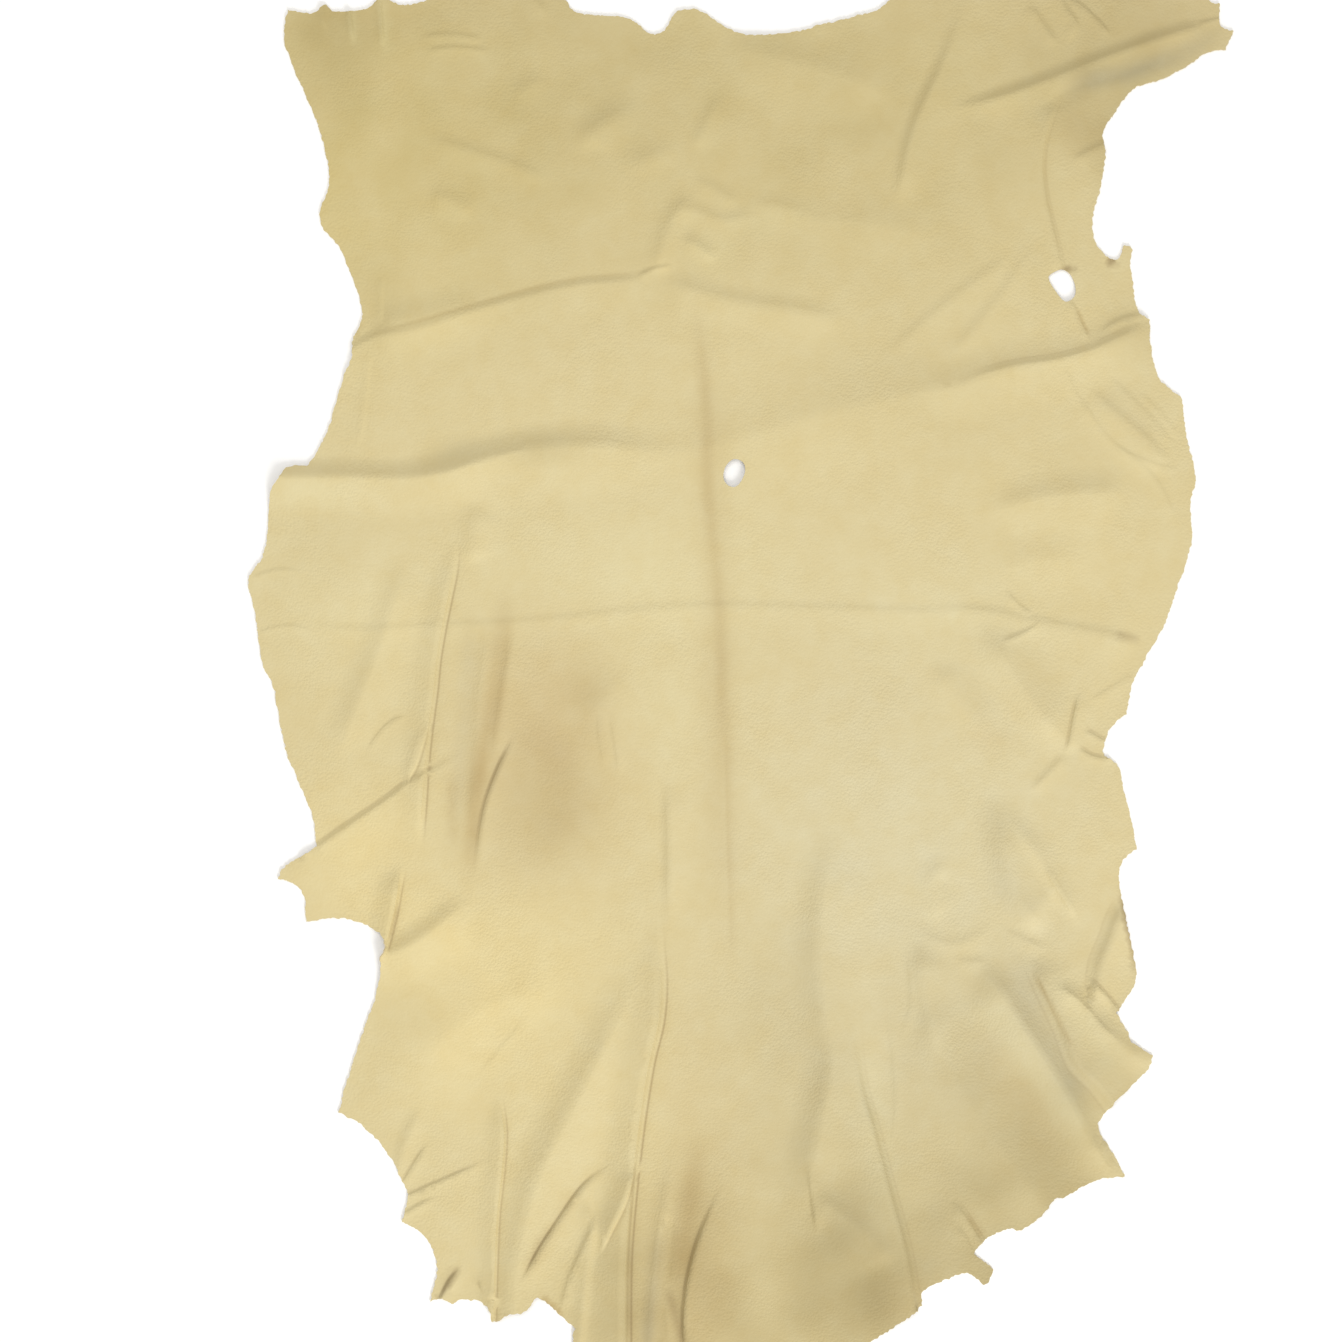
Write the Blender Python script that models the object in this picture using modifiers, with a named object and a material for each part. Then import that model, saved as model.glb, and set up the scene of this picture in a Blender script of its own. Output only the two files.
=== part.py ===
"""One whole tanned skin, grain side up, laid out on a flat surface in its natural folds."""

import math

import bpy
import numpy as np
from mathutils import Vector
from mathutils.geometry import delaunay_2d_cdt, interpolate_bezier

# Driving dimensions of the skin, in millimetres
MM = 0.001
THICKNESS = 1.5

# Spacing of the points that the sheet is built on, in millimetres
EDGE_STEP = 15.0
HOLE_STEP = 8.0
FOLD_STEP = 19.0
FIELD_STEP = 33.0
FACE_CLEARANCE = 2.6
SLOPE_CLEARANCE = 7.0
FIELD_CLEARANCE = 14.0
MERGE_DISTANCE = 0.4

# A steep face wider than this has a row of points along its middle as well
WIDE_FACE = 10.0

# Where a fold dies out, its soft slope narrows to this share of its width
NARROWEST_SLOPE = 0.4

# A soft slope has rows of points at these shares of its width
SLOPE_ROWS = (0.4, 1.0)

# The plan below is in millimetres too: u runs to the right, v from the rump down to the neck.
# The origin of the model lies in the middle of the plan's extent.
MID_U = 741.5
MID_V = 681.25

# Edge of the skin, clockwise. A row is one stretch between two sharp corners: its name and
# its points, from its first corner on. It ends in the first point of the next row.
EDGE = (
    ("rump, left", ((288, 10), (301, 13), (316, 13), (325, 4), (333, 11), (353, 11.5), (368, 8),
                    (384, -3), (400, 6), (415, 4), (430, 0), (480, -10), (540, -8), (564, 0),
                    (574, 11), (586, 15), (623, 17.5), (637, 23), (650, 34), (663, 32))),
    ("tail and rump, right", ((668.5, 25), (676, 13), (693, 10), (707, 15), (729, 29), (754, 36),
                              (784, 33), (800, 31.5), (820, 25), (850, 18), (877, 10), (891, 0),
                              (930, -18), (1000, -27), (1080, -24), (1160, -20), (1200, -14))),
    ("hind shank, end", ((1211, 4), (1219, 4))),
    ("hind shank, lobe", ((1219, 15), (1220.5, 26), (1227, 30))),
    ("hind shank, tip", ((1234, 31), (1227, 45))),
    ("hind leg", ((1225.5, 50.5), (1209, 52), (1185, 67), (1160, 80), (1133, 89), (1114, 114),
                  (1103, 132), (1105, 160), (1099.5, 190), (1092, 223), (1096, 244), (1109, 259),
                  (1118, 258.5))),
    ("flank spur", ((1124, 245), (1129.5, 247))),
    ("flank", ((1132.5, 251), (1129.5, 259), (1131, 272), (1137, 309))),
    ("flank step", ((1149.5, 320), (1151, 351), (1160, 379.5))),
    ("right belly", ((1181.5, 399), (1186, 434), (1192, 459.5), (1195, 479), (1189.5, 507),
                     (1192, 534), (1186, 562), (1177, 588), (1164, 626), (1151, 648),
                     (1132, 684))),
    ("elbow", ((1126, 714), (1115, 722), (1103.5, 743), (1105, 757), (1117, 764), (1125, 796),
               (1132, 823))),
    ("shoulder", ((1136, 849), (1122, 860.5), (1118.5, 879), (1125.5, 919), (1135, 966),
                  (1134.5, 985))),
    ("right shank, upper", ((1115, 1013), (1129, 1033.5), (1130, 1040), (1137, 1046))),
    ("right shank, lower", ((1152, 1055.5), (1149.5, 1066.5), (1121.5, 1095), (1107, 1110),
                            (1098, 1126), (1115, 1156))),
    ("right neck", ((1124, 1176), (1098, 1179.5), (1063.5, 1197), (1054, 1199), (1041.5, 1214),
                    (1019.5, 1230.5), (1010, 1228), (985, 1239), (974, 1253), (982, 1259.5))),
    ("neck tab", ((993, 1269), (988, 1281.5))),
    ("neck, right", ((983.5, 1284), (968, 1273.5), (947, 1278), (922, 1292.5))),
    ("neck end, right", ((921.5, 1305), (888, 1330), (850, 1354), (800, 1378), (730, 1389),
                         (680, 1388), (640, 1380))),
    ("neck end, left", ((628, 1366), (612, 1374), (590, 1368), (575, 1356), (573, 1333))),
    ("neck lobes", ((575.5, 1328), (560, 1315), (545, 1300), (536, 1297), (528, 1309), (505, 1314),
                    (500, 1320))),
    ("neck pleats", ((490.5, 1320), (488, 1306.5), (478.5, 1300.5), (458, 1299.5), (453, 1303),
                     (440, 1298))),
    ("left neck", ((430.5, 1301), (437, 1272), (434.5, 1253), (418.5, 1230))),
    ("left neck step", ((401.5, 1222), (408.5, 1196.5), (402, 1180), (388, 1152), (361, 1124))),
    ("left brisket", ((338.5, 1112), (349, 1076), (361, 1039), (378.5, 984), (382, 956))),
    ("left shank, lower", ((386, 943), (378.5, 931.5), (349, 919), (327.5, 918))),
    ("left shank, end", ((306, 922.5), (302.5, 892), (285, 879.5))),
    ("left shank, upper", ((277.5, 879.5), (284, 867.5), (311.5, 850))),
    ("left belly", ((317, 846), (313, 819), (299, 781.5), (287, 753), (277, 704.5), (272, 681),
                    (263, 664.5), (255, 611), (249, 580), (263, 555.5), (269.5, 516),
                    (270.5, 494), (280, 477.5))),
    ("belly step", ((286.5, 467), (299, 465))),
    ("left flank", ((307, 466.5), (326, 435), (335, 405.5), (342, 382), (352, 357.5), (353, 340),
                    (362, 320.5), (359.5, 298.5), (341, 250), (321.5, 225), (320.5, 211.5),
                    (330, 182.5), (326.5, 156.5), (316, 120.5), (296, 73), (287, 51),
                    (284.5, 33))),
)

# Natural holes in the skin, each a smooth loop
HOLES = (
    ("spine hole", ((734, 459.5), (743, 463), (745, 471.5), (741, 481.5), (735.5, 487),
                    (728.5, 486), (723.5, 479), (725.5, 467))),
    ("flank hole", ((1048, 278), (1053, 273), (1062, 270), (1070, 275), (1075, 287),
                    (1074, 297), (1065, 302), (1055.5, 292))),
)

# Folds: each has a steep face and a soft slope behind it. The path follows the middle of the
# steep face, and the soft slope lies on its right as it runs. Columns: name, height, width of
# the steep face, width of the soft slope, how far the crest leans out over the steep face,
# length over which the fold rises at the path's start and sinks at its end, and the path.
FOLDS = (
    ("upper crease", 9, 11, 62, 1, 0, 60,
     ((346, 349), (370, 335), (382, 327), (420, 323), (460, 311), (540, 293), (600, 281),
      (650, 272), (690, 268))),
    ("upper crease, faint end", 4, 16, 34, 0, 30, 40,
     ((660, 276), (690, 284), (720, 291), (760, 284), (800, 268))),
    ("middle crease", 17, 17, 58, 5, 0, 130,
     ((276, 471), (320, 470), (400, 470), (430, 468), (460, 460), (520, 447), (600, 438),
      (680, 434))),
    ("middle crease, faint end", 4, 34, 60, 0, 70, 70,
     ((640, 440), (700, 430), (800, 402), (890, 383))),
    ("right crease", 10, 13, 48, 1, 70, 0,
     ((930, 376), (980, 371), (1020, 363), (1060, 355), (1100, 338), (1156, 316))),
    ("lower crease", 4, 12, 38, 0, 60, 40,
     ((490, 626), (560, 618), (640, 610), (700, 606), (900, 608), (960, 606), (1020, 619),
      (1080, 628), (1142, 641))),
    ("hind leg crease", 7, 10, 36, 0, 50, 30,
     ((935, 106), (980, 97), (1020, 82), (1060, 66), (1100, 56), (1140, 44), (1180, 26))),
    ("rump crease", 4, 14, 44, 0, 30, 30,
     ((895, 205), (897, 175), (905, 130), (920, 90), (940, 62))),
    ("left double pleat", 7, 5, 24, 1, 40, 50,
     ((460, 545), (455, 580), (444, 610), (439, 650), (433, 700), (427, 750), (423, 800),
      (420, 850))),
    ("short dark pleat", 7, 6, 22, 1, 30, 30,
     ((480, 852), (486, 815), (490, 795), (500, 765), (516, 733))),
    ("left shank flap", 10, 8, 34, 3, 0, 40,
     ((310, 850), (340, 830), (380, 802), (410, 780), (435, 765))),
    ("left armpit tuck", 8, 6, 24, 1, 30, 0,
     ((405, 868), (399, 893), (396, 910), (387, 946))),
    ("left armpit fold", 6, 12, 40, 0, 0, 30,
     ((376, 949), (400, 940), (420, 930), (440, 915), (458, 896))),
    ("neck swell", 8, 30, 64, 0, 0, 70,
     ((496, 1330), (500, 1252), (525, 1160), (551, 1114), (580, 1062), (594, 1019), (623, 973),
      (662, 925))),
    ("neck thin pleat", 7, 6, 20, 1, 40, 0,
     ((500, 1096), (505, 1140), (502, 1168), (497, 1215), (496, 1260), (494, 1330))),
    ("neck slant, left", 5, 8, 22, 0, 0, 25,
     ((398, 1199), (428, 1184), (474, 1164), (492, 1155))),
    ("neck slant, middle", 8, 8, 30, 1, 30, 30,
     ((515, 1290), (534, 1252), (566, 1209), (590, 1175), (614, 1164))),
    ("long neck pleat", 10, 6, 38, 2, 110, 0,
     ((662, 930), (667, 985), (661, 1035), (648, 1080), (641, 1137), (632, 1209), (628, 1252),
      (628, 1300), (629, 1372))),
    ("neck pleat, right", 10, 14, 56, 0, 0, 50,
     ((686, 1396), (688, 1301), (694, 1258), (710, 1217), (726, 1176))),
    ("right neck trough", 6, 26, 54, 0, 0, 80,
     ((822, 1360), (817, 1235), (812, 1179), (804, 1120), (812, 1060), (808, 1010), (803, 950),
      (802, 880))),
    ("right neck line", 7, 12, 50, 0, 50, 0,
     ((862, 1085), (883, 1153), (904, 1224), (922, 1302))),
    ("right shank ridge, inner", 13, 13, 44, 0, 50, 0,
     ((975, 962), (1010, 1003), (1040, 1045), (1062, 1078), (1082, 1108), (1098, 1132))),
    ("right shank ridge, outer", 9, 9, 36, 0, 0, 30,
     ((1122, 1118), (1100, 1090), (1080, 1058), (1062, 1028), (1045, 995), (1030, 962))),
    ("right shank crease", 6, 11, 26, 0, 25, 0,
     ((1050, 978), (1085, 1001), (1117, 1032), (1136, 1048))),
    ("shoulder fold", 7, 12, 26, 0, 0, 0,
     ((1090, 982), (1101, 953), (1117, 916), (1130, 890))),
    ("shoulder trough", 5, 24, 44, 0, 30, 40,
     ((1040, 950), (1015, 922), (1004, 890), (992, 855), (984, 820))),
)

# Broad low swells where the skin stands off the surface: name, middle u and v, half-widths
# along u and v, and height
SWELLS = (
    ("left belly", 352, 580, 74, 92, 4),
    ("left brisket", 430, 1040, 64, 88, 4),
    ("right brisket", 960, 1120, 92, 110, 4),
    ("rump", 620, 150, 120, 90, 3),
    ("right belly", 1075, 520, 90, 90, 4),
)

BASE_COLOUR = (0.73, 0.61, 0.36, 1.0)


def clear_scene():
    for old in list(bpy.data.objects):
        bpy.data.objects.remove(old, do_unlink=True)


def smooth_line(points, step, closed=False):
    """Points about one step apart on a smooth curve through the given ones."""
    knots = [Vector(point) for point in points]
    if closed:
        knots = [knots[-1]] + knots + [knots[0], knots[1]]
    slopes = []
    for index in range(len(knots)):
        before = knots[max(index - 1, 0)]
        after = knots[min(index + 1, len(knots) - 1)]
        run = (knots[index] - before).length + (after - knots[index]).length
        slopes.append((after - before) / run)
    spans = range(1, len(knots) - 2) if closed else range(len(knots) - 1)
    line = [knots[spans[0]]]
    for index in spans:
        start, end = knots[index], knots[index + 1]
        reach = (end - start).length / 3
        count = max(1, round((end - start).length / step))
        handles = start + slopes[index] * reach, end - slopes[index + 1] * reach
        line.extend(interpolate_bezier(start, *handles, end, count + 1)[1:])
    return np.array([tuple(point) for point in line])


def edge_line():
    """The whole edge: smooth between its corners, sharp at them."""
    line = []
    for index, (_name, points) in enumerate(EDGE):
        next_corner = EDGE[(index + 1) % len(EDGE)][1][0]
        line.append(smooth_line(points + (next_corner,), EDGE_STEP)[:-1])
    return np.concatenate(line)


def measure(points, line):
    """Nearest place on a line: distance, offset to its right, length run there, and heading."""
    starts, steps = line[:-1], np.diff(line, axis=0)
    lengths = np.hypot(*steps.T)
    offsets = points[:, None, :] - starts[None, :, :]
    along = np.clip((offsets * steps).sum(axis=2) / lengths**2, 0, 1)
    gaps = offsets - along[..., None] * steps
    distances = np.hypot(gaps[..., 0], gaps[..., 1])
    nearest = distances.argmin(axis=1)
    rows = np.arange(len(points))
    gap, step = gaps[rows, nearest], steps[nearest]
    side = np.sign(step[:, 0] * gap[:, 1] - step[:, 1] * gap[:, 0])
    before = np.concatenate(([0], np.cumsum(lengths)))[nearest]
    run = before + along[rows, nearest] * lengths[nearest]
    heading = step / lengths[nearest][:, None]
    return distances[rows, nearest], side * distances[rows, nearest], run, heading


def ease(value):
    value = np.clip(value, 0, 1)
    return value * value * (3 - 2 * value)


def fade(run, length, start, end):
    """How much of its height a fold has along its run, from 0 to 1."""
    rising = ease(run / start) if start else 1.0
    sinking = ease((length - run) / end) if end else 1.0
    return rising * sinking


def shape(points):
    """The underside's height above the surface, and its sideways shift, at plan points."""
    height = np.zeros(len(points))
    shift = np.zeros((len(points), 2))
    for _name, peak, steep, soft, lean, start, end, path in FOLDS:
        line = smooth_line(path, FOLD_STEP / 2)
        length = np.hypot(*np.diff(line, axis=0).T).sum()
        _distance, offset, run, heading = measure(points, line)
        full = fade(run, length, start, end)
        rise = ease(offset / steep + 0.5)
        width = soft * (NARROWEST_SLOPE + (1 - NARROWEST_SLOPE) * full)
        fall = 1 - ease((offset - steep / 2) / width)
        height += peak * full * rise * fall
        near = 1 - ease((offset - steep / 2) / (2 * steep))
        out = np.stack((heading[:, 1], -heading[:, 0]), axis=1)
        shift += out * (lean * full * rise * near)[:, None]
    for _name, mid_u, mid_v, half_u, half_v, peak in SWELLS:
        away = np.hypot((points[:, 0] - mid_u) / half_u, (points[:, 1] - mid_v) / half_v)
        height += peak * (1 - ease(away))
    return height, shift


def fold_rows():
    """Plan points in rows along every fold: first those of all steep faces, then of the slopes."""
    faces, slopes = [], []
    for _name, _peak, steep, soft, _lean, _start, _end, path in FOLDS:
        line = smooth_line(path, FOLD_STEP)
        heading = np.gradient(line, axis=0)
        heading /= np.hypot(*heading.T)[:, None]
        right = np.stack((-heading[:, 1], heading[:, 0]), axis=1)
        faces.append(line - right * steep / 2)
        faces.append(line + right * steep / 2)
        if steep > WIDE_FACE:
            faces.append(line)
        slopes.extend(line + right * (steep / 2 + soft * share) for share in SLOPE_ROWS)
    return faces, slopes


def field_points(edge):
    """A coarse even grid of plan points, every other row set off by half a step."""
    points = []
    first_u, first_v = edge.min(axis=0)
    width, length = np.ptp(edge, axis=0)
    row_gap = FIELD_STEP * math.sqrt(0.75)
    for row in range(math.ceil(length / row_gap)):
        for column in range(math.ceil(width / FIELD_STEP)):
            points.append((first_u + (column + row % 2 / 2) * FIELD_STEP, first_v + row * row_gap))
    return np.array(points)


def on_skin(points, loops):
    """Which points lie within the edge and outside the holes: they have an odd crossing count."""
    crossings = np.zeros(len(points), dtype=int)
    for loop in loops:
        start, end = loop, np.roll(loop, -1, axis=0)
        v = points[:, 1][:, None]
        spans = (start[:, 1] > v) != (end[:, 1] > v)
        rise = np.where(end[:, 1] == start[:, 1], 1.0, end[:, 1] - start[:, 1])
        u = start[:, 0] + (v - start[:, 1]) / rise * (end[:, 0] - start[:, 0])
        crossings += (spans & (points[:, 0][:, None] < u)).sum(axis=1)
    return crossings % 2 == 1


def closed(loop):
    return np.vstack((loop, loop[:1]))


def add_row(points, edges, row, gap, linked, loops):
    """Add a row's points that are clear of the rest, and link its neighbours if asked."""
    to_rims = np.min([measure(row, closed(loop))[0] for loop in loops], axis=0)
    free = on_skin(row, loops) & (to_rims > gap)
    last = None
    for point, is_free in zip(row, free):
        if not is_free or np.hypot(*(points - point).T).min() < gap:
            last = None
            continue
        points = np.vstack((points, point))
        if linked and last is not None:
            edges.append((last, len(points) - 1))
        last = len(points) - 1
    return points


def plan_mesh():
    """Triangles over the plan: the edge, the holes, rows along the folds and a coarse field."""
    loops = [edge_line()]
    loops.extend(smooth_line(points, HOLE_STEP, closed=True)[:-1] for _name, points in HOLES)
    points = np.concatenate(loops)
    edges = []
    first = 0
    for loop in loops:
        edges.extend((first + i, first + (i + 1) % len(loop)) for i in range(len(loop)))
        first += len(loop)
    steep_rows, slope_rows = fold_rows()
    for row in steep_rows:
        points = add_row(points, edges, row, FACE_CLEARANCE, True, loops)
    for row in slope_rows:
        points = add_row(points, edges, row, SLOPE_CLEARANCE, False, loops)
    points = add_row(points, edges, field_points(loops[0]), FIELD_CLEARANCE, False, loops)
    whole_hull = 0
    points, _edges, faces, *_origins = delaunay_2d_cdt(
        [Vector(point) for point in points], edges, [], whole_hull, MERGE_DISTANCE, False)
    points = np.array([tuple(point) for point in points])
    faces = np.array(faces)
    return points, faces[on_skin(points[faces].mean(axis=1), loops)]


def leather():
    material = bpy.data.materials.new("hide_leather")
    material.use_nodes = True
    surface = material.node_tree.nodes["Principled BSDF"]
    surface.inputs["Base Color"].default_value = BASE_COLOUR
    surface.inputs["Roughness"].default_value = 0.72
    surface.inputs["Metallic"].default_value = 0.0
    return material


def build_hide(collection):
    """The skin: its folded underside as an open sheet, thickened upwards."""
    plan, faces = plan_mesh()
    height, shift = shape(plan)
    moved = plan + shift
    corners = np.stack((moved[:, 0] - MID_U, MID_V - moved[:, 1], height), axis=1) * MM
    mesh = bpy.data.meshes.new("hide")
    facing_up = faces[:, ::-1]
    mesh.from_pydata(corners.tolist(), [], facing_up.tolist())
    mesh.validate()
    mesh.shade_smooth()
    mesh.materials.append(leather())
    hide = bpy.data.objects.new("hide", mesh)
    collection.objects.link(hide)
    solid = hide.modifiers.new("thickness", "SOLIDIFY")
    solid.thickness = THICKNESS * MM
    solid.offset = 1.0
    return hide


def main():
    clear_scene()
    collection = bpy.data.collections.new("leather_hide")
    bpy.context.scene.collection.children.link(collection)
    build_hide(collection)


main()
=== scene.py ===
"""The looks of one whole tanned skin: a finely folded, pebbled leather sheet on a pale floor."""

import math

import bpy
import numpy as np
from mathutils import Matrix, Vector, noise
from mathutils.geometry import delaunay_2d_cdt, interpolate_bezier


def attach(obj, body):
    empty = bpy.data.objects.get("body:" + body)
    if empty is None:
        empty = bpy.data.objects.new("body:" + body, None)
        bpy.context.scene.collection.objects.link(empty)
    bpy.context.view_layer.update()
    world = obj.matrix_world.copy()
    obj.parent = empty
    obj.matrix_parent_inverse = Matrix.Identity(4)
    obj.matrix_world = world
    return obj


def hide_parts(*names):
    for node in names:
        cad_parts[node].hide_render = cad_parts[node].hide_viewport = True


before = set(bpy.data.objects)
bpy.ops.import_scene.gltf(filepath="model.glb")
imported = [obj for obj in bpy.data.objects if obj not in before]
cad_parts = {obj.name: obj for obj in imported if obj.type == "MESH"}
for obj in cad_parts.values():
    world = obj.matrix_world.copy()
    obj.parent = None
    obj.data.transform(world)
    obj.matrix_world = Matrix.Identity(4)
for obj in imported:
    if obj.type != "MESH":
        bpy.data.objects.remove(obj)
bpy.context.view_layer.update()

# Driving dimensions of the skin, in millimetres
MM = 0.001
THICKNESS = 1.5

# Spacing of the points that the sheet is built on, in millimetres
EDGE_STEP = 1.6
HOLE_STEP = 2.2
FOLD_STEP = 4.5
SPINE_STEP = 3.2
FIELD_STEP = 6.6
FACE_CLEARANCE = 2.4
SLOPE_CLEARANCE = 2.8
FIELD_CLEARANCE = 3.7
MERGE_DISTANCE = 0.2

# Edge points whose distance is measured at once
STRETCH = 40

# A fold's steep face and soft slope have rows of points at these shares of their widths
FACE_ROWS = (-0.5, -0.25, 0.0, 0.25, 0.5)
SLOPE_ROWS = (0.08, 0.2, 0.4, 0.7)

# One more row lies this far beyond the foot of the steep face, in millimetres
FOOT_ROW = 1.7

# Where a fold dies out, its soft slope narrows to this share of its width
NARROWEST_SLOPE = 0.4

# Middle of the skin's plan, in the plan coordinates that are described below
MID_U = 741.5
MID_V = 681.25

# How the sheet stands off the surface between its folds, in millimetres: it is lifted a little
# away from its edge, waves gently, and its edge curls up here and there
LIFT = 1.6
LIFT_INSET = 45.0
WAVE_HEIGHT = 0.8
WAVE_LENGTH = 105.0
RIPPLE_HEIGHT = 0.16
RIPPLE_LENGTH = 27.0
CURL_HEIGHT = 0.35
CURL_INSET = 5.0
CURL_LENGTH = 34.0
LOWEST = 0.5

# Each noise has its own seed
WAVE_SEED = 1.7
RIPPLE_SEED = 4.1
CURL_SEED = 9.2
NICK_SEED = 7.3
TINT_SEED = 2.6

# Raggedness of the cut edge: height and length of its coarse and its fine nicks
NICKS = ((0.9, 12.0), (1.5, 2.9))

# How much browner the skin is at its cut edge, and how far in
EDGE_DARKENING = 0.02
EDGE_INSET = 2.0

# Painted shade in the crevice at the foot of a leaning fold: how much darker the skin is, and how
# wide
PAINTED_CREVICE_SHADE = 0.30
PAINTED_CREVICE_SHADE_WIDTH = 1.2

# How unevenly the tints take: their usual share, how much it varies, and over what length
TINT_SHARE = 0.85
TINT_VARIATION = 0.3
TINT_LENGTH = 38

# Grain of the leather, in millimetres: pebbles, how far their rows bend, and pores between them
PEBBLE = 2.5
PEBBLE_DEPTH = 0.75
PEBBLE_BEND = 2.2
PORE = 1.3
PORE_DEPTH = 0.6

# Waves in each metre: how the rows bend, where the grain is worn smooth, and the mottling
BEND_SCALE = 130
WORN_SCALE = 11
MOTTLE_SCALE = 34

# The floor's height, the camera's height above it, and the width that it sees, in metres
FLOOR = -0.0002
CAMERA_HEIGHT = 2.6
FRAME_WIDTH = 1.342
FRAME_MID = (671, 671)

# The plan below is in millimetres: u runs to the right, v from the rump down to the neck.
# Edge of the skin, clockwise. A row is one stretch between two sharp corners: its name and
# its points, from its first corner on. It ends in the first point of the next row.
EDGE = (
    ("rump, left",
     ((288, 10), (301, 13), (316, 13), (325, 4), (333, 11), (353, 11.5), (368, 8), (384, -3),
      (400, 6), (415, 4), (430, 0), (480, -10), (540, -8), (564, 0), (574, 11), (586, 15),
      (623, 17.5), (637, 23), (650, 34), (663, 32))),
    ("tail and rump, right",
     ((668.5, 25), (676, 13), (693, 10), (707, 15), (729, 29), (754, 36), (784, 33), (800, 31.5),
      (820, 25), (850, 18), (877, 10), (891, 0), (930, -18), (1000, -27), (1080, -24), (1160, -20),
      (1200, -14))),
    ("hind shank, end", ((1211, 4), (1219, 4))),
    ("hind shank, lobe", ((1219, 15), (1220.5, 26), (1227, 30))),
    ("hind shank, tip", ((1234, 31), (1227, 45))),
    ("hind leg",
     ((1225.5, 50.5), (1209, 52), (1185, 67), (1160, 80), (1133, 89), (1114, 114), (1103, 132),
      (1105, 160), (1099.5, 190), (1092, 223), (1096, 244), (1109, 259), (1118, 258.5))),
    ("flank spur", ((1124, 245), (1129.5, 247))),
    ("flank", ((1132.5, 251), (1129.5, 259), (1131, 272), (1137, 309))),
    ("flank step", ((1149.5, 320), (1151, 351), (1160, 379.5))),
    ("right belly",
     ((1181.5, 399), (1186, 434), (1192, 459.5), (1195, 479), (1189.5, 507), (1192, 534),
      (1186, 562), (1177, 588), (1164, 626), (1151, 648), (1132, 684))),
    ("elbow",
     ((1126, 714), (1115, 722), (1103.5, 743), (1105, 757), (1117, 764), (1125, 796),
      (1132, 823))),
    ("shoulder",
     ((1136, 849), (1122, 860.5), (1118.5, 879), (1125.5, 919), (1135, 966), (1134.5, 985))),
    ("right shank, upper", ((1115, 1013), (1129, 1033.5), (1130, 1040), (1137, 1046))),
    ("right shank, lower",
     ((1152, 1055.5), (1149.5, 1066.5), (1121.5, 1095), (1107, 1110), (1098, 1126), (1115, 1156))),
    ("right neck",
     ((1124, 1176), (1098, 1179.5), (1063.5, 1197), (1054, 1199), (1041.5, 1214), (1019.5, 1230.5),
      (1010, 1228), (985, 1239), (974, 1253), (982, 1259.5))),
    ("neck tab", ((993, 1269), (988, 1281.5))),
    ("neck, right", ((983.5, 1284), (968, 1273.5), (947, 1278), (922, 1292.5))),
    ("neck end, right",
     ((921.5, 1305), (888, 1330), (850, 1354), (800, 1378), (730, 1389), (680, 1388),
      (640, 1380))),
    ("neck end, left", ((628, 1366), (612, 1374), (590, 1368), (575, 1356), (573, 1333))),
    ("neck lobes",
     ((575.5, 1328), (560, 1315), (545, 1300), (536, 1297), (528, 1309), (505, 1314),
      (500, 1320))),
    ("neck pleats",
     ((490.5, 1320), (488, 1306.5), (478.5, 1300.5), (458, 1299.5), (453, 1303), (440, 1298))),
    ("left neck", ((430.5, 1301), (437, 1272), (434.5, 1253), (418.5, 1230))),
    ("left neck step", ((401.5, 1222), (408.5, 1196.5), (402, 1180), (388, 1152), (361, 1124))),
    ("left brisket", ((338.5, 1112), (349, 1076), (361, 1039), (378.5, 984), (382, 956))),
    ("left shank, lower", ((386, 943), (378.5, 931.5), (349, 919), (327.5, 918))),
    ("left shank, end", ((306, 922.5), (302.5, 892), (285, 879.5))),
    ("left shank, upper", ((277.5, 879.5), (284, 867.5), (311.5, 850))),
    ("left belly",
     ((317, 846), (313, 819), (299, 781.5), (287, 753), (277, 704.5), (272, 681), (263, 664.5),
      (255, 611), (249, 580), (263, 555.5), (269.5, 516), (270.5, 494), (280, 477.5))),
    ("belly step", ((286.5, 467), (299, 465))),
    ("left flank",
     ((307, 466.5), (326, 435), (335, 405.5), (342, 382), (352, 357.5), (353, 340), (362, 320.5),
      (359.5, 298.5), (341, 250), (321.5, 225), (320.5, 211.5), (330, 182.5), (326.5, 156.5),
      (316, 120.5), (296, 73), (287, 51), (284.5, 33))),
)

# Natural holes in the skin, each a smooth loop
HOLES = (
    ("spine hole",
     ((734, 459.5), (743, 463), (745, 471.5), (741, 481.5), (735.5, 487), (728.5, 486),
      (723.5, 479), (725.5, 467))),
    ("flank hole",
     ((1048, 278), (1053, 273), (1062, 270), (1070, 275), (1075, 287), (1074, 297), (1065, 302),
      (1055.5, 292))),
)

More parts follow.
